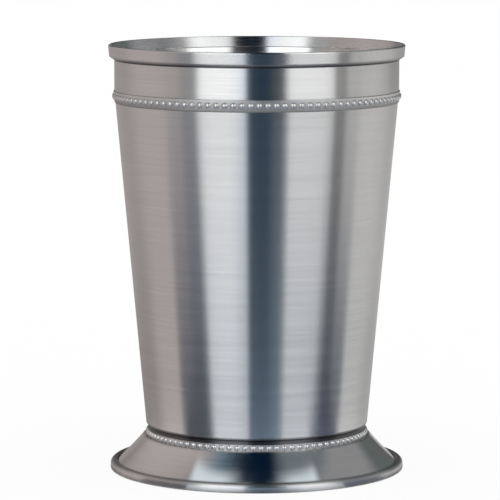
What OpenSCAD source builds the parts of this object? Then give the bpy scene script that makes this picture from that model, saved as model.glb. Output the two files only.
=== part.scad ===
// Footed julep cup in brushed stainless steel: a spun body with a straight collar, a rabbeted
// lip band, two beaded wires and a flared foot on a plain edge wire, all silver soldered.
// The origin is on the table at the middle of the foot, +Z is up and lengths are millimetres.

/* [Cup body] */
// Height of the whole cup, from the table to the top of the lip
cup_h = 114.3; // [100:0.1:130]
// Thickness of the body's sheet
sheet_t = 0.8; // [0.6:0.05:1]
// Outside diameter of the straight collar under the lip
collar_d = 76.1; // [72:0.1:82]
// Height of the collar that shows between the bend and the lip
collar_h = 8.4; // [5:0.1:12]
// Outside diameter that the taper runs down to, level with the floor
heel_d = 59.6; // [56:0.1:64]
// Outside radius of the heel, where the wall turns into the floor
heel_round = 0.5; // [0.4:0.05:1.4]
// Inside radius of the corner between the wall and the floor
floor_round = 1.5; // [0.8:0.1:3]
// How far the inside of the mouth opens out at the body's top edge
mouth_open = 0.35; // [0.2:0.05:0.4]
// Height over which it opens
mouth_open_h = 1.6; // [1:0.1:3]

/* [Lip band] */
// Height of the band's face
lip_h = 3.1; // [2.8:0.1:5]
// How far the lower edge of the face stands out from the collar
lip_out = 1.35; // [0.9:0.05:2]
// How much further out the top of the face leans
lip_flare = 0.3; // [0:0.05:0.6]
// Height of the bevel between the face and the collar
lip_bevel_h = 0.8; // [0.6:0.05:2]
// Width of the small flat that ends the bevel at the collar
lip_land = 0.2; // [0.1:0.05:0.4]
// Height of the band above the body's top edge, over which its inside opens out
lip_cap = 2.8; // [0.9:0.05:3]
// Width of the lip's top, between its outer and inner sides
lip_edge_w = 0.85; // [0.7:0.05:1.4]
// Radius of the lip's outer edge
lip_round = 0.35; // [0.2:0.05:0.4]
// Radius of the lip's inner edge
lip_inner_round = 0.25; // [0.1:0.05:0.3]

/* [Beaded wires] */
// Thickness of the flat back of both beaded wires
strip_t = 0.25; // [0.2:0.05:0.4]
// How far the beads stand out from the wall behind them
bead_proud = 0.75; // [0.6:0.05:0.9]
// Height of the upper wire's flat back
upper_strip_h = 2.9; // [2.3:0.1:4]
// Diameter of the upper beads
upper_bead_d = 2.1; // [1.6:0.05:2.1]
// Spacing of the upper beads along the wall
upper_bead_pitch = 2.22; // [2.16:0.02:2.6]
// Height of the lower wire's flat back
lower_strip_h = 1.7; // [1.6:0.05:2]
// Diameter of the lower beads
lower_bead_d = 1.7; // [1.4:0.05:1.75]
// Spacing of the lower beads along the neck
lower_bead_pitch = 2.08; // [1.9:0.02:2.6]

/* [Foot] */
// Outside diameter of the foot over its edge wire
foot_d = 79; // [75:0.1:86]
// Height of the foot, which is the height of the floor's underside
foot_h = 12.2; // [10.5:0.1:16]
// Thickness of the foot's sheet
foot_t = 0.8; // [0.6:0.05:1]
// Height of the upright neck, from the shoulder to the floor's underside
neck_h = 3; // [2.3:0.05:3.2]
// How far the neck is set in from the heel
neck_inset = 0.55; // [0:0.05:0.8]
// Radius of the neck's top edge
neck_round = 0.25; // [0.1:0.05:0.3]
// Width of the shoulder that the lower beaded wire sits on
shoulder_w = 1.3; // [0.9:0.05:1.6]
// Width of the flange that is soldered under the floor
flange_w = 4; // [2.5:0.1:7]
// Hollow of the flare, measured at the middle of its chord
flare_hollow = 0.2; // [0.05:0.05:0.9]
// Height of the skirt's lower edge above the table
rim_lift = 0.8; // [0.6:0.05:1.2]

/* [Foot edge wire] */
// Width of the edge wire
edge_w = 1.9; // [1.7:0.05:2.8]
// Height of the edge wire
edge_h = 2.4; // [2.1:0.05:3.5]
// Radius of the wire's outer top edge
edge_round = 1.1; // [0.5:0.05:1.3]
// Radius of the wire's other edges
edge_ease = 0.35; // [0.1:0.05:0.35]
// How far the wire stands up past the end of the flare, which leaves a groove between them
edge_stand = 0.4; // [0.35:0.05:0.8]

/* [Solder] */
// Thickness of the solder between the collar and the lip band
solder_t = 0.15; // [0.1:0.05:0.3]
// Leg of the solder fillets under the floor and inside the foot's edge
solder_leg = 0.45; // [0.3:0.05:0.5]

/* [Hidden] */

steel = [0.72, 0.72, 0.71];
bright_steel = [0.82, 0.82, 0.82];
solder = [0.66, 0.65, 0.61];

// Segments of a full turn of the cup, of a bead's section and of a bead's turn
$fn = 120;
bead_section_fn = 48;
bead_turn_fn = 24;
// Points along each rounded edge, less one
round_steps = 6;
// Points along the flare, less one
flare_steps = 16;

// Body
collar_r = collar_d / 2;
heel_r = heel_d / 2;
mouth_r = collar_r - sheet_t;
mouth_top_r = mouth_r + mouth_open;
lip_face_z = cup_h - lip_h;
collar_top_z = lip_face_z - lip_bevel_h;
bend_z = collar_top_z - collar_h;
floor_z = foot_h + sheet_t;
taper_slope = (collar_r - heel_r) / (bend_z - foot_h);
taper = atan(taper_slope);
// Width of the tapered wall, measured level, and where its inside meets the collar's
wall_run = sheet_t / cos(taper);
inner_bend_z = bend_z + (wall_run - sheet_t) / taper_slope;
// Where the back of the upper beaded wire ends on the taper
upper_strip_low_z = bend_z - upper_strip_h * cos(taper);

// Lip
lip_seat_z = cup_h - lip_cap;
body_top_z = lip_seat_z - solder_t;
lip_low_r = collar_r + lip_out;
lip_top_r = lip_low_r + lip_flare;
lip_inner_top_r = lip_top_r - lip_edge_w;

// Foot, with the centre of the arc that hollows its flare
neck_r = heel_r - neck_inset;
shoulder_z = foot_h - neck_h;
shoulder_r = neck_r + shoulder_w;
rim_r = foot_d / 2 - edge_w;
flange_r = neck_r - flange_w;
flare_top = [shoulder_r, shoulder_z];
flare_end = [rim_r, edge_h - edge_stand];
flare_chord = norm(flare_end - flare_top);
flare_arc_r = (pow(flare_chord / 2, 2) + pow(flare_hollow, 2)) / (2 * flare_hollow);
flare_out = unit([flare_top[1] - flare_end[1], flare_end[0] - flare_top[0]]);
flare_centre = (flare_top + flare_end) / 2 + flare_out * (flare_arc_r - flare_hollow);

// Radius of the taper's outside at a height
function taper_r(z) = heel_r + taper_slope * (z - foot_h);

function unit(v) = v / norm(v);

// Points of an arc about a centre, from one angle to another
function arc(centre, radius, from, to, steps) = [
    for (i = [0:steps])
        let (a = from + (to - from) * i / steps)
            centre + radius * [cos(a), sin(a)]
];

// Points that round off corner b of the path a, b, c
function rounded(a, b, c, radius) =
    let (
        u = unit(a - b),
        v = unit(c - b),
        half = acos(u * v) / 2,
        centre = b + unit(u + v) * radius / sin(half),
        first = b + u * radius / tan(half) - centre,
        turn = 180 - 2 * half,
        way = cross(u, v) > 0 ? -1 : 1,
        start = atan2(first[1], first[0])
    )
    arc(centre, radius, start, start + way * turn, round_steps);

// Angles on the flare's arc, or on one further out, at a height and at a distance from the axis
function angle_at_height(radius, z) = -180 - asin((z - flare_centre[1]) / radius);
function angle_at_distance(radius, r) = -acos((r - flare_centre[0]) / radius);

// The outside of the foot's skirt, or its inside at the sheet's depth
function skirt_path(depth) =
    let (
        radius = flare_arc_r + depth,
        from = angle_at_height(radius, shoulder_z - depth),
        to = angle_at_distance(radius, rim_r - depth)
    )
    concat(
        [[neck_r - depth, shoulder_z - depth]],
        arc(flare_centre, radius, from, to, flare_steps),
        [[rim_r - depth, rim_lift]]
    );

function reversed(list) = [for (i = [len(list) - 1:-1:0]) list[i]];

// One bead, a ball cut flat at the middle of the wire's back, with its crown along +Z
module bead(bead_d) {
    root = strip_t / 2;
    translate([0, 0, root])
        rotate_extrude($fn = bead_turn_fn)
            intersection() {
                translate([0, bead_proud - root - bead_d / 2])
                    circle(d = bead_d, $fn = bead_section_fn);
                square([bead_d, bead_d]);
            }
}

// A ring of flat links, each touching the turned section's radius at its middle
module linked_ring(section, count) {
    corners = len(section);
    half_step = 180 / count;
    points = [
        for (corner = section, i = [0:count - 1])
            let (r = corner[0] / cos(half_step), a = 2 * i * half_step)
                [r * cos(a), r * sin(a), corner[1]]
    ];
    faces = [
        for (j = [0:corners - 1], i = [0:count - 1])
            let (
                ring = j * count,
                next_ring = ((j + 1) % corners) * count,
                next = (i + 1) % count
            )
                [ring + i, next_ring + i, next_ring + next, ring + next]
    ];
    polyhedron(points, faces);
}

// A beaded wire, bent bead by bead round a wall that leans out by the angle lean. Its back has
// one flat link behind each bead. wall_r and middle_z are where the middle of the back lies.
module beaded_wire(wall_r, middle_z, lean, strip_h, bead_d, pitch) {
    count = round(2 * PI * wall_r / pitch);
    middle = [wall_r, middle_z];
    up = [sin(lean), cos(lean)] * strip_h / 2;
    out = [cos(lean), -sin(lean)] * strip_t;
    linked_ring([middle - up, middle - up + out, middle + up + out, middle + up], count);
    for (i = [0:count - 1])
        rotate([0, 0, (i + 0.5) * 360 / count])
            translate([wall_r, 0, middle_z])
                rotate([0, 90 + lean, 0])
                    bead(bead_d);
}

module cup_body() {
    floor_corner = [taper_r(floor_z) - wall_run, floor_z];
    color(steel)
        rotate_extrude()
            polygon(concat(
                [[0, foot_h]],
                rounded([0, foot_h], [heel_r, foot_h], [collar_r, bend_z], heel_round),
                [[collar_r, bend_z], [collar_r, body_top_z]],
                [[mouth_top_r, body_top_z], [mouth_r, body_top_z - mouth_open_h]],
                [[mouth_r, inner_bend_z]],
                rounded([mouth_r, inner_bend_z], floor_corner, [0, floor_z], floor_round),
                [[0, floor_z]]
            ));
}

module lip_band() {
    face_low = [lip_low_r, lip_face_z];
    face_top = [lip_top_r, cup_h];
    inner_top = [lip_inner_top_r, cup_h];
    color(bright_steel)
        rotate_extrude()
            polygon(concat(
                [[collar_r, collar_top_z], [collar_r + lip_land, collar_top_z], face_low],
                rounded(face_low, face_top, inner_top, lip_round),
                rounded(face_top, inner_top, [mouth_top_r, lip_seat_z], lip_inner_round),
                [[mouth_top_r, lip_seat_z], [collar_r, lip_seat_z]]
            ));
}

module lip_solder() {
    color(solder)
        rotate_extrude()
            translate([mouth_top_r, body_top_z])
                square([sheet_t - mouth_open, solder_t]);
}

module upper_beaded_wire() {
    middle_z = (bend_z + upper_strip_low_z) / 2;
    color(bright_steel)
        beaded_wire(
            taper_r(middle_z), middle_z, taper, upper_strip_h, upper_bead_d, upper_bead_pitch
        );
}

module upper_wire_solder() {
    top = [taper_r(upper_strip_low_z), upper_strip_low_z];
    color(solder)
        rotate_extrude()
            polygon([
                top,
                top - strip_t * [sin(taper), cos(taper)],
                top + strip_t * [cos(taper), -sin(taper)]
            ]);
}

module lower_beaded_wire() {
    middle_z = shoulder_z + lower_strip_h / 2;
    color(bright_steel)
        beaded_wire(neck_r, middle_z, 0, lower_strip_h, lower_bead_d, lower_bead_pitch);
}

module foot_skirt() {
    flange_edge = [flange_r, foot_h];
    neck_top = [neck_r, foot_h];
    color(steel)
        rotate_extrude()
            polygon(concat(
                [[flange_r, foot_h - foot_t], flange_edge],
                rounded(flange_edge, neck_top, [neck_r, shoulder_z], neck_round),
                skirt_path(0),
                reversed(skirt_path(foot_t)),
                [[neck_r - foot_t, foot_h - foot_t]]
            ));
}

module foot_solder() {
    color(solder)
        rotate_extrude()
            polygon([
                [flange_r, foot_h],
                [flange_r - solder_leg, foot_h],
                [flange_r, foot_h - solder_leg]
            ]);
}

module foot_edge_wire() {
    inner_low = [rim_r, 0];
    outer_low = [rim_r + edge_w, 0];
    outer_top = [rim_r + edge_w, edge_h];
    inner_top = [rim_r, edge_h];
    color(bright_steel)
        rotate_extrude()
            polygon(concat(
                rounded(inner_top, inner_low, outer_low, edge_ease),
                rounded(inner_low, outer_low, outer_top, edge_ease),
                rounded(outer_low, outer_top, inner_top, edge_round),
                rounded(outer_top, inner_top, inner_low, edge_ease)
            ));
}

module foot_edge_solder() {
    color(solder)
        rotate_extrude()
            polygon([
                [rim_r, rim_lift],
                [rim_r - solder_leg, rim_lift],
                [rim_r, rim_lift - solder_leg]
            ]);
}

cup_body();
lip_band();
lip_solder();
upper_beaded_wire();
upper_wire_solder();
lower_beaded_wire();
foot_skirt();
foot_solder();
foot_edge_wire();
foot_edge_solder();
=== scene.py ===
"""Footed julep cup in brushed stainless steel: turned sheet, a flared lip band, two beaded wires
and a flared foot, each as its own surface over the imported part. Lengths are in metres."""

import math

import bpy
import numpy as np
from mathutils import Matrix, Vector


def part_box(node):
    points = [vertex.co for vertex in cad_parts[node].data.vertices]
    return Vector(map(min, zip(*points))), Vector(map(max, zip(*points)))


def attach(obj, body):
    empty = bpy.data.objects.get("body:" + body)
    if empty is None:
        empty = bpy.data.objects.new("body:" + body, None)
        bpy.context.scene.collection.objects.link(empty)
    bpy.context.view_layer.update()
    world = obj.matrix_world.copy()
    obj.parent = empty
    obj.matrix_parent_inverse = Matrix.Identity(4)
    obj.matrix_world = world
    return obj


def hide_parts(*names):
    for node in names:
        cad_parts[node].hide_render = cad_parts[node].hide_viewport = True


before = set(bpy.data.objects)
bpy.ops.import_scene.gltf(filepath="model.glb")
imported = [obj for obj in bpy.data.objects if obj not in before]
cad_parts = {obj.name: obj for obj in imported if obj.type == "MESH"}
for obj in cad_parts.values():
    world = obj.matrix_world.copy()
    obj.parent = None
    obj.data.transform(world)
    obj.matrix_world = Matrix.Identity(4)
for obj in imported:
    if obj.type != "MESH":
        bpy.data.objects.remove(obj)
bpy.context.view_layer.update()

# Sizes that a node's box doesn't give
SHEET = 0.0008
FOOT_SHEET = 0.0008
HEEL_R = 0.0298
HEEL_ROUND = 0.0005
FLOOR_ROUND = 0.0015
BEND_ROUND = 0.004
MOUTH_OPEN = 0.00035
MOUTH_OPEN_H = 0.0016
MOUTH_ROUND = 0.008
EASE = 0.00008
LIP_OUT = 0.00134
LIP_FLARE = 0.0003
LIP_BEVEL = 0.0008
LIP_LAND = 0.0002
LIP_CAP = 0.0028
LIP_EDGE = 0.00085
LIP_ROUND = 0.00035
LIP_INNER_ROUND = 0.00025
STRIP = 0.00025
BEAD_PROUD = 0.00075
UPPER_BEAD_D = 0.0021
UPPER_PITCH = 0.00222
LOWER_BEAD_D = 0.0017
LOWER_PITCH = 0.00208
NECK_INSET = 0.00055
NECK_ROUND = 0.00025
SHOULDER = 0.0013
FLANGE = 0.004
FLARE_HOLLOW = 0.0002
EDGE_ROUND = 0.0011
EDGE_EASE = 0.00035
EDGE_STAND = 0.0004
EDGE_FLAT = 0.00022

# Painted shade, darker colour put where shade falls, in corners, in grooves and under the wires,
# beads and lip band: how far it spreads out of a corner, its strength at the top of the flare and
# over the flare's last steps, how it rises over the edge wire's round top before it is held
# between 0 and 1, its strength along the two rows of beads, its shares at the corners of a row's
# band from the lowest, its share on a bead's upper side, and the share kept at the foot's two
# sides in x, to the camera's left and right
SHADE_SPREAD = 0.0003
FLARE_TOP_SHADE = 0.3
FLARE_EDGE_SHADES = (0.06, 0.51, 0.6)
EDGE_SHADE_FADE = (-0.6, 1.2)
UPPER_SHADE = 0.8
LOWER_SHADE = 0.08
BAND_SHADE_SHARES = (1, 0.7, 0, 0.3)
BEAD_TOP_SHADE_SHARE = 0.2
SIDE_SHADE_SHARE = 0.3

# Steps round the cup, the widest turn of a rounded edge between two of its points, the points
# along the flare, and a bead's rings and sides
TURN_STEPS = 600
ARC_STEP = math.radians(9)
FLARE_POINTS = 25
BEAD_RINGS = 5
BEAD_SIDES = 14


def reach(node):
    """A turned node's outer radius, lowest height and highest height."""
    low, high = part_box(node)
    return high.x, low.z, high.z


COLLAR_R, FLOOR_UNDER, BODY_TOP = reach("cup_body")
LIP_LOW, CUP_H = reach("lip_band")[1:]
EDGE_R, TABLE, EDGE_TOP = reach("foot_edge_wire")
RIM_R, RIM_LOW, FOOT_TOP = reach("foot_skirt")
UPPER_LOW, BEND = reach("upper_beaded_wire")[1:]
SHOULDER_Z, LOWER_TOP = reach("lower_beaded_wire")[1:]
SLOPE = (COLLAR_R - HEEL_R) / (BEND - FLOOR_UNDER)
TAPER = math.atan(SLOPE)
MOUTH_R = COLLAR_R - SHEET
NECK_R = HEEL_R - NECK_INSET


def taper_r(z):
    """Radius of the tapered wall's outside at a height."""
    return HEEL_R + SLOPE * (z - FLOOR_UNDER)


def unit(v):
    return v / np.hypot(*v)


def quarter_turned(v):
    """A direction of travel turned to the right, which is outwards on a section run anticlockwise."""
    return np.array([v[1], -v[0]])


def rounded_corner(before, corner, after, radius):
    """Points and outward directions of the arc that rounds a section's corner. The direction
    turns evenly from one side's to the other's, and the arc lies one radius off its centre. A
    radius of zero leaves one point, for a place on a straight stretch."""
    out_1 = quarter_turned(unit(corner - before))
    out_2 = quarter_turned(unit(after - corner))
    if radius == 0:
        return corner[None], unit(out_1 + out_2)[None]
    start = math.atan2(out_1[1], out_1[0])
    turn = (math.atan2(out_2[1], out_2[0]) - start + math.pi) % (2 * math.pi) - math.pi
    side = math.copysign(1, turn)
    back = radius * math.tan(abs(turn) / 2)
    centre = corner - unit(corner - before) * back - side * radius * out_1
    steps = max(2, math.ceil(abs(turn) / ARC_STEP))
    angle = start + turn * np.linspace(0, 1, steps + 1)
    out = np.column_stack([np.cos(angle), np.sin(angle)])
    return centre + side * radius * out, out


def section(parts, closed=True):
    """A section's points, their outward directions and how much painted shade lies at each. A part
    is a corner (r, z, radius, painted shade), or a ready curve as its points, directions and
    painted shade. It runs anticlockwise, and an open one starts and ends on the axis."""
    starts = [np.array(part[0][0] if np.ndim(part[0]) else part[:2]) for part in parts]
    ends = [np.array(part[0][-1] if np.ndim(part[0]) else part[:2]) for part in parts]
    points, outs, painted_shade = [], [], []
    for i, part in enumerate(parts):
        before, corner, after = ends[i - 1], starts[i], starts[(i + 1) % len(parts)]
        if np.ndim(part[0]):
            p, o = part[:2]
        elif not closed and i in (0, len(parts) - 1):
            along = after - corner if i == 0 else corner - before
            p, o = corner[None], quarter_turned(unit(along))[None]
        else:
            p, o = rounded_corner(before, corner, after, part[2])
        points.append(p)
        outs.append(o)
        painted_shade.append(np.broadcast_to(part[-1], len(p)))
    return np.vstack(points), np.vstack(outs), np.concatenate(painted_shade).astype(float)


def mesh_piece(name, verts, faces, normals, uv, painted_shade):
    """A smooth mesh object on the root body, with its own vertex normals, the UV map turning
    and an attribute of painted shade, the darker colour put where shade falls."""
    mesh = bpy.data.meshes.new(name)
    mesh.from_pydata(verts.tolist(), [], faces)
    mesh.polygons.foreach_set("use_smooth", np.ones(len(mesh.polygons), bool))
    layer = mesh.uv_layers.new(name="turning")
    layer.data.foreach_set("uv", uv.astype(np.float32).ravel())
    shade_mark = mesh.attributes.new("painted_shade", "FLOAT", "POINT")
    shade_mark.data.foreach_set("value", painted_shade.astype(np.float32))
    mesh.normals_split_custom_set_from_vertices(normals.tolist())
    piece = bpy.data.objects.new(name, mesh)
    bpy.context.scene.collection.objects.link(piece)
    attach(piece, "root")
    return piece


def turned(name, points, outs, painted_shade, closed=True, side_shade_share=1.0):
    """A section swept round the axis: each point (r, z) at the angle a lies at
    (r cos a, r sin a, z). u counts the turn and v is the length along the section in metres. An
    open section's first and last rings are single vertices with triangles to them. The painted
    shade is fainter at the cup's two sides in x, to the camera's left and right: there only a
    share k of it is kept, as it is multiplied by k + (1 - k) sin^4 a."""
    steps = TURN_STEPS
    angle = 2 * np.pi * np.arange(steps) / steps
    c, s = np.cos(angle), np.sin(angle)
    rows = len(points)
    r, z = points[:, :1], points[:, 1:]
    verts = np.stack([r * c, r * s, np.broadcast_to(z, (rows, steps))], axis=-1).reshape(-1, 3)
    level = np.broadcast_to(outs[:, 1:], (rows, steps))
    normals = np.stack([outs[:, :1] * c, outs[:, :1] * s, level], axis=-1).reshape(-1, 3)
    length = np.concatenate([[0], np.cumsum(np.hypot(*np.diff(points, axis=0).T))])
    i, j = np.meshgrid(np.arange(rows if closed else rows - 1), np.arange(steps), indexing="ij")
    i, j = i.ravel(), j.ravel()
    i_next, j_next = (i + 1) % rows, (j + 1) % steps
    v_next = np.where(i_next == 0, length[-1] + np.hypot(*(points[0] - points[-1])), length[i_next])
    across = np.stack([j, j_next, j_next, j], axis=1)
    quads = np.stack([i, i, i_next, i_next], axis=1) * steps + across
    u = np.stack([j, j + 1, j + 1, j], axis=1) / steps
    v = np.stack([length[i], length[i], v_next, v_next], axis=1)
    uv = np.stack([u, v], axis=-1)
    kept = np.broadcast_to(side_shade_share, rows)[:, None]
    painted_shade = (painted_shade[:, None] * (kept + (1 - kept) * s ** 4)).ravel()
    if closed:
        return mesh_piece(name, verts, quads.tolist(), normals, uv.reshape(-1, 2), painted_shade)
    first, last = i == 0, i_next == rows - 1
    merged = np.arange(len(verts))
    merged[:steps] = 0
    merged[-steps:] = (rows - 1) * steps
    used, compact = np.unique(merged[quads], return_inverse=True)
    quads = compact.reshape(quads.shape)
    faces = quads[first][:, [0, 2, 3]].tolist() + quads[~first & ~last].tolist()
    faces += quads[last][:, :3].tolist()
    uv = [uv[first][:, [0, 2, 3]], uv[~first & ~last], uv[last][:, :3]]
    uv = np.concatenate([part.reshape(-1, 2) for part in uv])
    return mesh_piece(name, verts[used], faces, normals[used], uv, painted_shade[used])


def bead_shapes(wall_r, middle_z, lean, bead_d, pitch, shade_strength):
    """Domes of a ball of the bead's diameter, spaced along the wall at the pitch, each standing
    proud of the wall along its outward direction and cut flat at the middle of the strip. From
    the ball's centre, the point at the tilt t and the spin p lies at the ball's radius times
    (sin t cos p, sin t sin p, cos t), whose last part points outwards. Painted shade, for the
    shade in the crease round the dome's foot, rises with t squared to the row's strength there,
    most on its lower side."""
    rings, sides = BEAD_RINGS, BEAD_SIDES
    count = round(2 * math.pi * wall_r / pitch)
    radius = bead_d / 2
    cut = math.acos((STRIP / 2 - BEAD_PROUD + radius) / radius)
    tilt = np.linspace(0, cut, rings + 1)[1:]
    spin = 2 * np.pi * np.arange(sides) / sides
    level = np.broadcast_to(np.cos(tilt)[:, None], (rings, sides))
    across = [np.outer(np.sin(tilt), np.cos(spin)), np.outer(np.sin(tilt), np.sin(spin)), level]
    normal = np.vstack([[[0, 0, 1]], np.stack(across, axis=-1).reshape(-1, 3)])
    local = radius * normal + [0, 0, BEAD_PROUD - radius]
    angle = 2 * np.pi * (np.arange(count) + 0.5) / count
    out = np.array([math.cos(lean), -math.sin(lean)])
    radial = np.stack([np.cos(angle), np.sin(angle), 0 * angle], axis=1)[:, None, :]
    tangent = np.stack([-np.sin(angle), np.cos(angle), 0 * angle], axis=1)[:, None, :]

    def placed(v):
        r_part = v[:, 2:] * out[0] - v[:, :1] * out[1]
        z_part = v[:, 2:] * out[1] + v[:, :1] * out[0]
        return r_part * radial - v[:, 1:2] * tangent + z_part * np.array([0, 0, 1])

    verts = placed(local) + radial * wall_r + np.array([0, 0, middle_z])
    k = np.arange(sides)
    k_next = (k + 1) % sides
    low = 1 + sides * np.arange(rings - 1)[:, None]
    cap = np.stack([0 * k, 1 + k, 1 + k_next], axis=1)
    bands = np.stack([low + k, low + sides + k, low + sides + k_next, low + k_next], axis=-1)
    base = (1 + sides * (rings - 1) + k)[::-1][None]
    move = len(local) * np.arange(count)[:, None, None]
    faces = []
    for part in (cap, bands.reshape(-1, 4), base):
        faces += (part + move).reshape(-1, part.shape[1]).tolist()
    # Painted shade round each dome's foot, for the shade in the crease between bead and band
    low_side = 0.5 + 0.5 * np.cos(spin)
    share = BEAD_TOP_SHADE_SHARE + (1 - BEAD_TOP_SHADE_SHARE) * low_side
    foot = shade_strength * (tilt / cut)[:, None] ** 2 * share
    painted_shade = np.tile(np.concatenate([[0], foot.ravel()]), count)
    return verts.reshape(-1, 3), faces, placed(normal).reshape(-1, 3), painted_shade


def make_body():
    """The spun body: floor, rounded heel, taper and collar outside, then the same inside."""
    wall_run = SHEET / math.cos(TAPER)
    floor_top = FLOOR_UNDER + SHEET
    inner_bend = BEND + (wall_run - SHEET) / SLOPE
    heel_z = FLOOR_UNDER + HEEL_ROUND
    wire_low = UPPER_LOW - SHADE_SPREAD
    # The last number of each corner is the painted shade there, darkest at the heel, round the upper
    # wire and under the lip band, where shade falls.
    parts = [
        (0, FLOOR_UNDER, 0, 0.3),
        (HEEL_R, FLOOR_UNDER, HEEL_ROUND, 0.6),
        (taper_r(heel_z + SHADE_SPREAD / 2), heel_z + SHADE_SPREAD / 2, 0, 0),
        (taper_r(wire_low), wire_low, 0, 0),
        (taper_r(UPPER_LOW), UPPER_LOW, 0, 0.9),
        (COLLAR_R, BEND, EASE, 0.5),
        (COLLAR_R, BEND + SHADE_SPREAD, 0, 0),
        (COLLAR_R, LIP_LOW - SHADE_SPREAD, 0, 0),
        (COLLAR_R, LIP_LOW, 0, 1),
        (COLLAR_R, BODY_TOP, EASE, 0.3),
        (MOUTH_R + MOUTH_OPEN, BODY_TOP, EASE / 2, 0),
        (MOUTH_R, BODY_TOP - MOUTH_OPEN_H, MOUTH_ROUND, 0),
        (MOUTH_R, inner_bend, BEND_ROUND, 0),
        (taper_r(floor_top) - wall_run, floor_top, FLOOR_ROUND, 0.15),
        (0, floor_top, 0, 0),
    ]
    return turned("drawn_body", *section(parts, closed=False), closed=False)


def make_lip():
    """The lip band: a bevel off the collar, a face that leans out, a thin top, an inside that
    opens out towards it, and the seat on the body's edge."""
    seat = CUP_H - LIP_CAP
    face_low = LIP_LOW + LIP_BEVEL
    lean = LIP_FLARE / (CUP_H - face_low)
    top_r = COLLAR_R + LIP_OUT + LIP_FLARE
    # The last number of each corner is the painted shade there, darkest where the band's bevel meets
    # the collar under it, where shade falls.
    parts = [
        (COLLAR_R, LIP_LOW, EASE / 2, 1),
        (COLLAR_R + LIP_LAND, LIP_LOW, EASE, 1),
        (COLLAR_R + LIP_OUT, face_low, EASE, 0.25),
        (COLLAR_R + LIP_OUT + lean * SHADE_SPREAD, face_low + SHADE_SPREAD, 0, 0),
        (top_r, CUP_H, LIP_ROUND, 0),
        (top_r - LIP_EDGE, CUP_H, LIP_INNER_ROUND, 0),
        (MOUTH_R + MOUTH_OPEN, seat, EASE / 2, 0),
        (COLLAR_R, seat, EASE / 2, 0.3),
    ]
    return turned("flared_lip_band", *section(parts))


def make_beaded_wire(name, wall_r, low_z, top_z, lean, bead_d, pitch, shade_strength):
    """A beaded wire: a thin band on the wall with a row of domes standing out of it, and painted
    shade of the given strength along its lower side, where shade falls under the row."""
    middle_z = (low_z + top_z) / 2
    half = (top_z - low_z) / 2 / math.cos(lean)
    up = np.array([math.sin(lean), math.cos(lean)]) * half
    out = np.array([math.cos(lean), -math.sin(lean)]) * STRIP
    middle = np.array([wall_r, middle_z])
    corners = [middle - up, middle - up + out, middle + up + out, middle + up]
    # Painted shade at the band's corners, most at the lowest, under the row of beads
    parts = [(*corner, EASE / 2, shade_strength * share) for corner, share in zip(corners, BAND_SHADE_SHARES)]
    band = turned(name + "_band", *section(parts))
    verts, faces, normals, shade_marks = bead_shapes(wall_r, middle_z, lean, bead_d, pitch, shade_strength)
    beads = mesh_piece(name, verts, faces, normals, np.zeros((sum(map(len, faces)), 2)), shade_marks)
    with bpy.context.temp_override(active_object=beads, selected_editable_objects=[beads, band]):
        bpy.ops.object.join()
    return beads


def flare_curve(depth):
    """The foot's flare from the shoulder to just under the edge wire's top, or the same curve
    further in by a depth, run downwards. It is the chord, hollowed by 4 h s (1 - s) at the share
    s of its length."""
    top = np.array([NECK_R + SHOULDER, SHOULDER_Z])
    end = np.array([RIM_R, EDGE_TOP - EDGE_STAND])
    share = np.linspace(0, 1, FLARE_POINTS)[:, None]
    along = end - top
    out = quarter_turned(unit(along)) * -1
    sag = 4 * share * (1 - share) * FLARE_HOLLOW
    lean = 4 * (1 - 2 * share) * FLARE_HOLLOW / np.hypot(*along)
    ray = out + unit(along) * lean
    ray /= np.hypot(*ray.T)[:, None]
    return top + along * share - out * sag - ray * depth, ray


def make_foot():
    """The foot's skirt: flange, neck, shoulder, hollow flare and upright rim, all one sheet.
    Below the shoulder, less painted shade is kept at the sides in x, to the camera's left and right."""
    outside, ray = flare_curve(0)
    inside, inside_ray = flare_curve(FOOT_SHEET)
    kept = (inside[:, 0] < RIM_R - FOOT_SHEET) & (inside[:, 1] < SHOULDER_Z - FOOT_SHEET)
    flange_r = NECK_R - FLANGE
    under = FOOT_TOP - FOOT_SHEET
    # Painted shade along the flare: at its top under the lower beads, and over its last steps into
    # the groove by the edge wire
    shade_marks = np.zeros(FLARE_POINTS)
    shade_marks[0] = FLARE_TOP_SHADE
    shade_marks[-len(FLARE_EDGE_SHADES):] = FLARE_EDGE_SHADES
    # The last number of each part is the painted shade there, darkest in the neck's groove under the
    # body and round the shoulder, where shade falls.
    parts = [
        (flange_r, under, EASE, 0.3),
        (NECK_R - FOOT_SHEET, under, EASE, 0.4),
        (NECK_R - FOOT_SHEET, SHOULDER_Z - FOOT_SHEET, EASE, 0.3),
        (inside[kept], -inside_ray[kept], 0.1),
        (RIM_R - FOOT_SHEET, RIM_LOW, EASE, 0.5),
        (RIM_R, RIM_LOW, EASE, 0.5),
        (outside[::-1], ray[::-1], shade_marks[::-1]),
        (NECK_R, SHOULDER_Z, EASE, 0.6),
        (NECK_R, FOOT_TOP, NECK_ROUND, 1),
        (flange_r, FOOT_TOP, EASE, 0.4),
    ]
    points, outs, painted_shade = section(parts)
    # Below the shoulder the painted shade is fainter at the sides in x, to the camera's left and
    # right
    side_shade_share = np.where(points[:, 1] < SHOULDER_Z - SHOULDER, SIDE_SHADE_SHARE, 1)
    return turned("flared_foot", points, outs, painted_shade, side_shade_share=side_shade_share)


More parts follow.
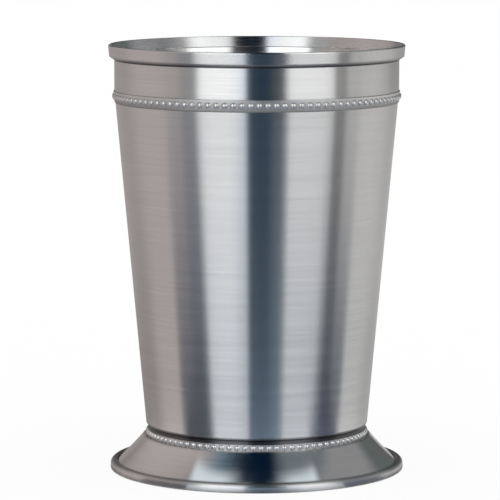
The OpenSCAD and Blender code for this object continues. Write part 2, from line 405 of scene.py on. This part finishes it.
def make_edge_wire():
    """The wire under the foot's edge: a flat land, upright sides and a round outer top, with painted
    shade that spreads out of the groove by the flare and thins out over the round."""
    fading_shade = np.clip(np.linspace(*EDGE_SHADE_FADE, round(math.pi / 2 / ARC_STEP) + 1), 0, 1)
    parts = [
        (RIM_R, TABLE, EDGE_EASE, 0.4),
        (EDGE_R, TABLE, EDGE_EASE, 0.5),
        (EDGE_R, EDGE_TOP, EDGE_ROUND, fading_shade),
        (EDGE_R - EDGE_ROUND - EDGE_FLAT, EDGE_TOP, 0, 1),
        (RIM_R, EDGE_TOP, EDGE_EASE, 1),
    ]
    # Its painted shade is fainter at the sides in x, to the camera's left and right
    return turned("foot_edge_ring", *section(parts), side_shade_share=SIDE_SHADE_SHARE)


# Materials

# The colour towards which painted shade darkens the metals where shade falls in corners and under
# parts
PAINTED_SHADE_TONE = (0.035, 0.035, 0.04)
# How the metals' patterns work: the range of the noise that colours them, how far the colour
# goes either way, how much roughness the pattern and the painted shade add, and how the pattern
# breaks up the painted shade, as a factor and an addition
PATTERN_RANGE = (0.3, 0.7)
TONE = 0.05
PATTERN_ROUGHNESS = 0.1
SHADE_ROUGHNESS = 0.3
SHADE_BREAKS = (0.5, 0.7)
# Handling marks: the roughness they add, and their scale in waves per metre
SMUDGE = 0.05
SMUDGE_SCALE = 55
# Turning lines: waves per metre along the section, as a rule and on the foot, then round the
# cup, fine and broad, the fine ones' share, and how many times broader the broad ones are
LINES = 5200
FOOT_LINES = 3600
LINES_ROUND = 60
BROAD_LINES_ROUND = 18
FINE_SHARE = 0.6
BROADER = 7
# Scales of the small dents, dull patches and flowed solder, and the solder's relief
DENT_SCALE = 900
DULL_PATCH_SCALE = 160
FLOW_SCALE = 420
FLOW_DEPTH = 0.00006
NOISE_ROUGHNESS = 0.65


def node(tree, kind, **settings):
    made = tree.nodes.new("ShaderNode" + kind)
    for key, value in settings.items():
        setattr(made, key, value)
    return made


def feed(tree, socket, value):
    """Sets a socket to a number or colour, or links another node's output to it."""
    if isinstance(value, bpy.types.NodeSocket):
        tree.links.new(value, socket)
    else:
        socket.default_value = value


def calc(tree, operation, *values, clamp=False):
    made = node(tree, "Math", operation=operation, use_clamp=clamp)
    for socket, value in zip(made.inputs, values):
        feed(tree, socket, value)
    return made.outputs[0]


def ease_between(tree, value, low, high):
    """0 below low, 1 above high and a smooth rise between."""
    made = node(tree, "MapRange", interpolation_type="SMOOTHSTEP")
    feed(tree, made.inputs["Value"], value)
    made.inputs["From Min"].default_value = low
    made.inputs["From Max"].default_value = high
    return made.outputs[0]


def blended(tree, share, first, second):
    """A colour that goes from the first to the second as the share goes from 0 to 1."""
    made = node(tree, "Mix", data_type="RGBA")
    sockets = [s for s in made.inputs if s.type == "RGBA"]
    feed(tree, made.inputs[0], share)
    for socket, colour in zip(sockets, (first, second)):
        feed(tree, socket, colour if isinstance(colour, bpy.types.NodeSocket) else (*colour, 1))
    return [s for s in made.outputs if s.type == "RGBA"][0]


def noise(tree, vector, scale, detail):
    made = node(tree, "TexNoise")
    made.inputs["Scale"].default_value = scale
    made.inputs["Detail"].default_value = detail
    made.inputs["Roughness"].default_value = NOISE_ROUGHNESS
    feed(tree, made.inputs["Vector"], vector)
    return made.outputs["Fac"]


def turning_lines(tree, round_scale, along_scale, detail):
    """Noise drawn out round the cup: slow in x and y, fast along the section's length."""
    place = node(tree, "SeparateXYZ")
    feed(tree, place.inputs[0], node(tree, "TexCoord").outputs["Object"])
    uv = node(tree, "SeparateXYZ")
    feed(tree, uv.inputs[0], node(tree, "UVMap", uv_map="turning").outputs[0])
    join = node(tree, "CombineXYZ")
    feed(tree, join.inputs["X"], calc(tree, "MULTIPLY", place.outputs["X"], round_scale))
    feed(tree, join.inputs["Y"], calc(tree, "MULTIPLY", place.outputs["Y"], round_scale))
    feed(tree, join.inputs["Z"], calc(tree, "MULTIPLY", uv.outputs["Y"], along_scale))
    return noise(tree, join.outputs[0], 1, detail)


def metal_base(name):
    """A new metal, with its tree, shader and the place on the piece."""
    material = bpy.data.materials.new(name)
    material.use_nodes = True
    tree = material.node_tree
    shader = tree.nodes["Principled BSDF"]
    shader.inputs["Metallic"].default_value = 1
    return material, tree, shader, node(tree, "TexCoord").outputs["Object"]


def add_relief(tree, shader, height, depth):
    bump = node(tree, "Bump")
    bump.inputs["Distance"].default_value = depth
    feed(tree, bump.inputs["Height"], height)
    feed(tree, shader.inputs["Normal"], bump.outputs["Normal"])


def finish_metal(tree, shader, colour, pattern, rough, depth):
    """Colour that varies with the pattern and darkens with the painted shade, and fine relief."""
    tones = [[c * (1 + sign * TONE) for c in colour] for sign in (-1, 1)]
    steel_tone = blended(tree, ease_between(tree, pattern, *PATTERN_RANGE), *tones)
    # Painted shade: this mark darkens the colour where shade falls in corners and under parts
    shade_mark = node(tree, "Attribute", attribute_name="painted_shade").outputs["Fac"]
    breaks = calc(tree, "MULTIPLY_ADD", pattern, *SHADE_BREAKS)
    shade_mark = calc(tree, "MULTIPLY", shade_mark, breaks, clamp=True)
    feed(tree, shader.inputs["Base Color"], blended(tree, shade_mark, steel_tone, PAINTED_SHADE_TONE))
    feed(tree, shader.inputs["Roughness"], calc(tree, "MULTIPLY_ADD", shade_mark, SHADE_ROUGHNESS, rough))
    add_relief(tree, shader, pattern, depth)


def brushed_steel(name, colour, roughness, depth, lines=LINES):
    """Stainless steel brushed round the cup. Fine lines follow the turning in colour, roughness
    and height, reflections draw out across them, and faint handling marks dull it unevenly."""
    material, tree, shader, place = metal_base(name)
    shader.inputs["Anisotropic"].default_value = 1
    shader.inputs["Anisotropic Rotation"].default_value = 0.25
    tangent = node(tree, "Tangent", direction_type="UV_MAP", uv_map="turning")
    feed(tree, shader.inputs["Tangent"], tangent.outputs[0])
    fine = turning_lines(tree, LINES_ROUND, lines, 4)
    broad = turning_lines(tree, BROAD_LINES_ROUND, lines / BROADER, 3)
    broad = calc(tree, "MULTIPLY", broad, 1 - FINE_SHARE)
    pattern = calc(tree, "MULTIPLY_ADD", fine, FINE_SHARE, broad)
    least = roughness - (SMUDGE + PATTERN_ROUGHNESS) / 2
    rough = calc(tree, "MULTIPLY_ADD", noise(tree, place, SMUDGE_SCALE, 5), SMUDGE, least)
    rough = calc(tree, "MULTIPLY_ADD", pattern, PATTERN_ROUGHNESS, rough)
    finish_metal(tree, shader, colour, pattern, rough, depth)
    return material


def polished_steel(name, colour, roughness, depth):
    """Polished steel with small dents of wear and faint dull patches."""
    material, tree, shader, place = metal_base(name)
    patches = calc(tree, "MULTIPLY", noise(tree, place, DULL_PATCH_SCALE, 4), 0.5)
    pattern = calc(tree, "MULTIPLY_ADD", noise(tree, place, DENT_SCALE, 3), 0.5, patches)
    least = roughness - PATTERN_ROUGHNESS / 2
    rough = calc(tree, "MULTIPLY_ADD", pattern, PATTERN_ROUGHNESS, least)
    finish_metal(tree, shader, colour, pattern, rough, depth)
    return material


def silver_solder(name, dark, light, rough):
    """Silver solder as it flowed, uneven and slightly warm, in two shades over a least roughness.
    The ring inside the mouth is rubbed bright with the lip."""
    material, tree, shader, place = metal_base(name)
    flow = noise(tree, place, FLOW_SCALE, 4)
    feed(tree, shader.inputs["Base Color"], blended(tree, flow, dark, light))
    feed(tree, shader.inputs["Roughness"], calc(tree, "MULTIPLY_ADD", flow, rough, rough))
    add_relief(tree, shader, flow, FLOW_DEPTH)
    return material


# Studio

# The cards that stand round the cup, from the back round by the left. Each row gives the edge
# where a card starts, as an angle from the camera in degrees to the right, at the four places
# by the foot, halfway out, far off and high up. Then come the width of that edge's blur, the
# card's brightness at the same four places, and its tints at the two low and two high places.
WARM = (1.08, 0.98, 0.955)
MILD = (1.02, 1.0, 0.985)
COOL = (0.92, 0.98, 1.1)
BLUE = (0.5, 1.0, 1.75)
SLATE = (0.74, 1.0, 1.32)
NAVY = (0.3, 1.0, 2.3)
PLAIN = (1.0, 1.0, 1.0)
CARDS = [
    ((-180, -180, -180, -180), 1, (0.27, 0.26, 0.36, 0.3), (WARM, WARM)),
    ((-118, -118, -124, -120), 16, (0.4, 0.42, 0.44, 0.38), (WARM, WARM)),
    ((-85, -83.5, -64, -62), 5, (0.012, 0.045, 0.32, 0.42), (NAVY, PLAIN)),
    ((-47.5, -48, -51, -48.5), 1.5, (0.41, 0.6, 0.73, 2.1), (COOL, PLAIN)),
    ((-18.5, -18, -15.5, -17), 12, (0.39, 0.35, 0.61, 1.9), (COOL, COOL)),
    ((-8.3, -8.3, -8.0, -9.5), 1.2, (0.17, 0.1, 0.047, 0.012), (SLATE, BLUE)),
    ((12, 12, 12, 12), 6, (0.19, 0.16, 0.11, 0.02), (SLATE, COOL)),
    ((28.5, 27.3, 25.8, 23.2), 4, (0.38, 0.43, 0.61, 1.8), (COOL, PLAIN)),
    ((60, 62, 66, 65), 1.5, (0.03, 0.025, 0.24, 0.56), (NAVY, MILD)),
    ((97, 96, 77.5, 74), 5, (0.52, 0.54, 0.64, 0.4), (PLAIN, MILD)),
    ((132, 132, 140, 128), 20, (0.45, 0.42, 0.5, 0.13), (PLAIN, MILD)),
]
# How far out the first three places of the table lie
PLACES = (0.06, 0.16, 0.45)
# The heights between which the table's last place takes over: all round, and lower down behind
# the cup, past the given limits in y
HIGH_FROM = (0.055, 0.28)
HIGH_FROM_BEHIND = (0.005, 0.06)
HIGH_BEHIND_Y = (0.3, 0.6)
# Radius of the cup's wall, halfway up, and how often the angle in it is worked out anew
WALL_R = 0.034
ANGLE_ROUNDS = 3
# The surface of the cards: its height over the floor, its clearance from the foot, the radii of
# its flat rings, the dome's radius, the angles of the dome's rings and the steps round
CARD_LIFT = 0.0002
CARD_CLEAR = 0.0002
CARD_RADII = (0.06, 0.2)
DOME_R = 1.2
DOME_RISE = np.radians(np.linspace(0, 89.5, 24))
CARD_STEPS = 96
# A painted contact shadow, a dark line in the cards where the foot's sides meet the table, and
# the bright ring in front of it
CONTACT = (0.0396, 0.0435)
CONTACT_SIDES = (math.radians(35), math.radians(60))
CONTACT_SHADOW_TONE = (0.05, 0.05, 0.055)
NEAR_RING = (0.058, 0.048)
NEAR_GAIN = 1.3

# What hangs over the cup and shows in the foot's flare: the heights and the places in y
# between which it begins, right over the cup, and lower down behind it
OVERHEAD_FROM = (0.86, 1.0)
OVERHEAD_Y = (-0.82, -0.6)
OVERHEAD_FROM_BEHIND = (0.15, 0.32)
OVERHEAD_BEHIND_Y = (-0.25, 0)
# The ceiling's shades: at the left and towards the camera there, and at the right's front,
# middle and back. Each pair of limits, in x or y, is where one shade goes over to the next.
OVERHEAD_LEFT = (0.49, 0.435, 0.42)
OVERHEAD_LEFT_NEAR = (0.3, 0.43, 0.54)
LEFT_NEAR_X = (-0.68, -0.4)
LEFT_NEAR_Y = (0.5, 0.25)
OVERHEAD_RIGHT_FRONT = (0.145, 0.17, 0.19)
OVERHEAD_RIGHT = (0.295, 0.295, 0.305)
RIGHT_Y = (-0.05, 0.2)
OVERHEAD_RIGHT_BACK = (0.127, 0.146, 0.143)
RIGHT_BACK_Y = (0.62, 0.88)
RIGHT_X = (-0.12, 0.12)
# The dark gap across the ceiling: its shade, and where it ends at the left and the right
OVERHEAD_GAP = (0.0012, 0.009, 0.025)
GAP_X = ((-0.12, -0.85), (0.14, 0.4))
# The bright box: its shade, the middle it lies about, how its front and its sides slant, the
# limits of its front, sides and back, and the gap across it
OVERHEAD_BOX = (0.79, 0.87, 0.93)
BOX_MIDDLE = -0.03
BOX_FRONT_SLANT = 0.4
BOX_SIDE_SLANT = 0.6
BOX_FRONT = (-0.335, -0.185)
BOX_SIDES = (0.68, 0.57)
BOX_BACK = (0.55, 0.3)
BOX_GAP_X = ((-0.1, -0.35), (0.13, 0.36))

# The floor's half width, its paper's shade, and how much of what the camera sees of it glows
FLOOR_HALF = 6.0
PAPER = (0.97, 0.97, 0.97)
PAPER_GLOW = 0.88

# The camera: lens and sensor width in millimetres, its place, and its tilt down in radians
LENS = 240.25
SENSOR_WIDTH = 36
CAMERA_PLACE = (-0.0018, -0.89094, 0.16546)
CAMERA_TILT = 0.119


def card_ramp(tree, turn, place):
    """The cards' colours round the full turn, at one of the four places of the table."""
    ramp = node(tree, "ValToRGB")
    feed(tree, ramp.inputs["Fac"], turn)
    colours = []
    for _, _, level, tints in CARDS:
        colours.append(tuple(level[place] * part for part in tints[place // 2]))
    elements = ramp.color_ramp.elements
    elements.remove(elements[1])
    elements[0].position, elements[0].color = 0, (*colours[0], 1)
    for (edges, blur, _, _), before, after in zip(CARDS[1:], colours, colours[1:]):
        for offset, colour in ((-blur / 2, before), (blur / 2, after)):
            elements.new((edges[place] + offset) / 360 + 0.5).color = (*colour, 1)
    return ramp.outputs["Color"]


def both(tree, first, second):
    """The share of a place that lies within two limits together: the product of their shares."""
    return calc(tree, "MULTIPLY", first, second)


def outside_gap(tree, x, limits):
    """0 in a gap across x and 1 on both sides of it."""
    left, right = limits
    return calc(tree, "ADD", ease_between(tree, x, *left), ease_between(tree, x, *right))


def standing_cards(tree, x, y, z):
    """The cards that stand round the cup. The angle at which a card shows in the cup's side is
    the angle of the place itself, plus what the side's own distance from the axis adds, which
    is half that angle's sine times the ratio of the two distances."""
    angle = calc(tree, "ARCTAN2", x, calc(tree, "MULTIPLY", y, -1))
    squares = calc(tree, "ADD", calc(tree, "POWER", x, 2), calc(tree, "POWER", y, 2))
    away = calc(tree, "SQRT", squares)
    ratio = calc(tree, "DIVIDE", WALL_R, away)
    shown = angle
    for _ in range(ANGLE_ROUNDS):
        half_sine = calc(tree, "SINE", calc(tree, "MULTIPLY", shown, 0.5))
        shown = calc(tree, "MULTIPLY_ADD", half_sine, ratio, angle)
    turn = calc(tree, "MULTIPLY_ADD", shown, 1 / (2 * math.pi), 0.5)
    near, middle, far, high = (card_ramp(tree, turn, place) for place in range(4))
    log_away = calc(tree, "LOGARITHM", away, 10)
    steps = [math.log10(place) for place in PLACES]
    colour = blended(tree, ease_between(tree, log_away, *steps[:2]), near, middle)
    colour = blended(tree, ease_between(tree, log_away, *steps[1:]), colour, far)
    ring = node(tree, "VectorMath", operation="SCALE")
    feed(tree, ring.inputs[0], colour)
    gain = calc(tree, "MULTIPLY_ADD", ease_between(tree, away, *NEAR_RING), NEAR_GAIN, 1)
    feed(tree, ring.inputs["Scale"], gain)
    # The painted contact shadow by the foot, seen in its reflection, away from the front
    contact_shadow = calc(tree, "SUBTRACT", 1, ease_between(tree, away, *CONTACT))
    sideways = ease_between(tree, calc(tree, "ABSOLUTE", angle), *CONTACT_SIDES)
    colour = blended(tree, both(tree, contact_shadow, sideways), ring.outputs[0], CONTACT_SHADOW_TONE)
    behind = ease_between(tree, y, *HIGH_BEHIND_Y)
    behind = both(tree, ease_between(tree, z, *HIGH_FROM_BEHIND), behind)
    raised = calc(tree, "MAXIMUM", ease_between(tree, z, *HIGH_FROM), behind)
    return blended(tree, raised, colour, high)


def overhead_shades(tree, x, y):
    """The ceiling, the dark gap across it, and the bright box with a gap of its own."""
    left_near = both(tree, ease_between(tree, x, *LEFT_NEAR_X), ease_between(tree, y, *LEFT_NEAR_Y))
    left = blended(tree, left_near, OVERHEAD_LEFT, OVERHEAD_LEFT_NEAR)
    right = blended(tree, ease_between(tree, y, *RIGHT_Y), OVERHEAD_RIGHT_FRONT, OVERHEAD_RIGHT)
    right = blended(tree, ease_between(tree, y, *RIGHT_BACK_Y), right, OVERHEAD_RIGHT_BACK)
    ceiling = blended(tree, ease_between(tree, x, *RIGHT_X), left, right)
    ceiling = blended(tree, outside_gap(tree, x, GAP_X), OVERHEAD_GAP, ceiling)
    off_middle = calc(tree, "ABSOLUTE", calc(tree, "SUBTRACT", x, BOX_MIDDLE))
    front = calc(tree, "MULTIPLY_ADD", off_middle, -BOX_FRONT_SLANT, y)
    side = calc(tree, "MULTIPLY_ADD", y, BOX_SIDE_SLANT, off_middle)
    box = both(tree, ease_between(tree, front, *BOX_FRONT), ease_between(tree, side, *BOX_SIDES))
    box = both(tree, box, ease_between(tree, y, *BOX_BACK))
    box = both(tree, box, outside_gap(tree, x, BOX_GAP_X))
    return blended(tree, box, ceiling, OVERHEAD_BOX)


def cards_material():
    """Glowing and dark cards round the cup and over it."""
    material = bpy.data.materials.new("studio_cards")
    material.use_nodes = True
    tree = material.node_tree
    tree.nodes.clear()
    split = node(tree, "SeparateXYZ")
    feed(tree, split.inputs[0], node(tree, "TexCoord").outputs["Object"])
    x, y, z = split.outputs
    above = both(tree, ease_between(tree, z, *OVERHEAD_FROM), ease_between(tree, y, *OVERHEAD_Y))
    behind = ease_between(tree, z, *OVERHEAD_FROM_BEHIND)
    behind = both(tree, behind, ease_between(tree, y, *OVERHEAD_BEHIND_Y))
    above = calc(tree, "MAXIMUM", above, behind)
    colour = blended(tree, above, standing_cards(tree, x, y, z), overhead_shades(tree, x, y))
    glow = node(tree, "Emission")
    feed(tree, glow.inputs["Color"], colour)
    feed(tree, node(tree, "OutputMaterial").inputs["Surface"], glow.outputs[0])
    return material


def make_cards():
    """The cards' surface, seen only in reflections: flat just over the floor from the foot out
    to the dome's radius R, then up round the dome to its pole. A ring at the rise b lies at the
    radius R cos b and the height R sin b over the flat."""
    flat_r = [EDGE_R + CARD_CLEAR, *CARD_RADII]
    flat = np.column_stack([flat_r, [CARD_LIFT] * len(flat_r)])
    dome = np.column_stack([DOME_R * np.cos(DOME_RISE), CARD_LIFT + DOME_R * np.sin(DOME_RISE)])
    points = np.vstack([flat, dome])
    steps = CARD_STEPS
    angle = 2 * np.pi * np.arange(steps) / steps
    level = np.broadcast_to(points[:, 1:], (len(points), steps))
    verts = [points[:, :1] * np.cos(angle), points[:, :1] * np.sin(angle), level]
    verts = np.stack(verts, axis=-1).reshape(-1, 3)
    i, j = np.meshgrid(np.arange(len(points) - 1), np.arange(steps), indexing="ij")
    i, j = i.ravel(), j.ravel()
    j_next = (j + 1) % steps
    across = np.stack([j, j_next, j_next, j], axis=1)
    faces = np.stack([i, i, i + 1, i + 1], axis=1) * steps + across
    mesh = bpy.data.meshes.new("studio_cards")
    mesh.from_pydata(verts.tolist(), [], faces.tolist())
    mesh.materials.append(cards_material())
    cards = bpy.data.objects.new("studio_cards", mesh)
    bpy.context.scene.collection.objects.link(cards)
    for kind in ("camera", "diffuse", "shadow", "transmission", "volume_scatter"):
        setattr(cards, "visible_" + kind, False)


def make_floor():
    """A wide white floor. The camera sees it nearly white, and it keeps the cup's soft shadow."""
    mesh = bpy.data.meshes.new("floor")
    half = FLOOR_HALF
    corners = [(-half, -half, 0), (half, -half, 0), (half, half, 0), (-half, half, 0)]
    mesh.from_pydata(corners, [], [(0, 1, 2, 3)])
    floor = bpy.data.objects.new("floor", mesh)
    bpy.context.scene.collection.objects.link(floor)
    material = bpy.data.materials.new("white_floor")
    material.use_nodes = True
    tree = material.node_tree
    tree.nodes.clear()
    paper = node(tree, "BsdfDiffuse")
    paper.inputs["Color"].default_value = (*PAPER, 1)
    glow = node(tree, "Emission")
    mix = node(tree, "MixShader")
    seen = node(tree, "LightPath").outputs["Is Camera Ray"]
    feed(tree, mix.inputs[0], calc(tree, "MULTIPLY", seen, PAPER_GLOW))
    feed(tree, mix.inputs[1], paper.outputs[0])
    feed(tree, mix.inputs[2], glow.outputs[0])
    feed(tree, node(tree, "OutputMaterial").inputs["Surface"], mix.outputs[0])
    mesh.materials.append(material)


def make_world():
    """A white surround of strength one, which lights everything evenly from all round."""
    world = bpy.data.worlds.new("white_surround")
    world.use_nodes = True
    background = world.node_tree.nodes["Background"]
    background.inputs["Color"].default_value = (1, 1, 1, 1)
    background.inputs["Strength"].default_value = 1
    bpy.context.scene.world = world


def make_camera():
    """A long lens, a little above the cup's mouth and tilted down to it."""
    data = bpy.data.cameras.new("camera")
    data.lens = LENS
    data.sensor_width = SENSOR_WIDTH
    data.clip_start = 0.01
    camera = bpy.data.objects.new("camera", data)
    bpy.context.scene.collection.objects.link(camera)
    camera.location = CAMERA_PLACE
    camera.rotation_euler = (math.pi / 2 - CAMERA_TILT, 0, 0)
    bpy.context.scene.camera = camera


make_camera()
make_world()
make_floor()
make_cards()

# Each steel's colour, mean roughness and depth of relief in metres, and each solder's two
# shades and least roughness
wall_steel = brushed_steel("brushed_wall", (0.79, 0.79, 0.785), 0.25, 0.000003)
band_steel = brushed_steel("brushed_lip", (0.79, 0.79, 0.785), 0.27, 0.000003)
foot_steel = brushed_steel("turned_foot", (0.78, 0.78, 0.77), 0.085, 0.000002, FOOT_LINES)
edge_steel = brushed_steel("polished_edge", (0.74, 0.74, 0.735), 0.36, 0.000002)
bead_steel = polished_steel("polished_beads", (0.84, 0.84, 0.835), 0.36, 0.00001)
solder = silver_solder("silver_solder", (0.36, 0.35, 0.32), (0.6, 0.59, 0.55), 0.28)
rubbed_solder = silver_solder("rubbed_solder", (0.74, 0.74, 0.73), (0.8, 0.8, 0.79), 0.12)

upper_place = taper_r((UPPER_LOW + BEND) / 2), UPPER_LOW, BEND, TAPER
lower_place = NECK_R, SHOULDER_Z, LOWER_TOP, 0
upper_row = "upper_beads", *upper_place, UPPER_BEAD_D, UPPER_PITCH, UPPER_SHADE
lower_row = "lower_beads", *lower_place, LOWER_BEAD_D, LOWER_PITCH, LOWER_SHADE
dressed = [
    (make_body(), "cup_body", wall_steel),
    (make_lip(), "lip_band", band_steel),
    (make_beaded_wire(*upper_row), "upper_beaded_wire", bead_steel),
    (make_beaded_wire(*lower_row), "lower_beaded_wire", bead_steel),
    (make_foot(), "foot_skirt", foot_steel),
    (make_edge_wire(), "foot_edge_wire", edge_steel),
]
for piece, cad_node, material in dressed:
    piece.data.materials.clear()
    piece.data.materials.append(material)
    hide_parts(cad_node)

for cad_node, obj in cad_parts.items():
    if cad_node.endswith("solder"):
        for slot in obj.material_slots:
            slot.material = rubbed_solder if cad_node == "lip_solder" else solder

scene = bpy.context.scene
scene.view_settings.view_transform = "Standard"
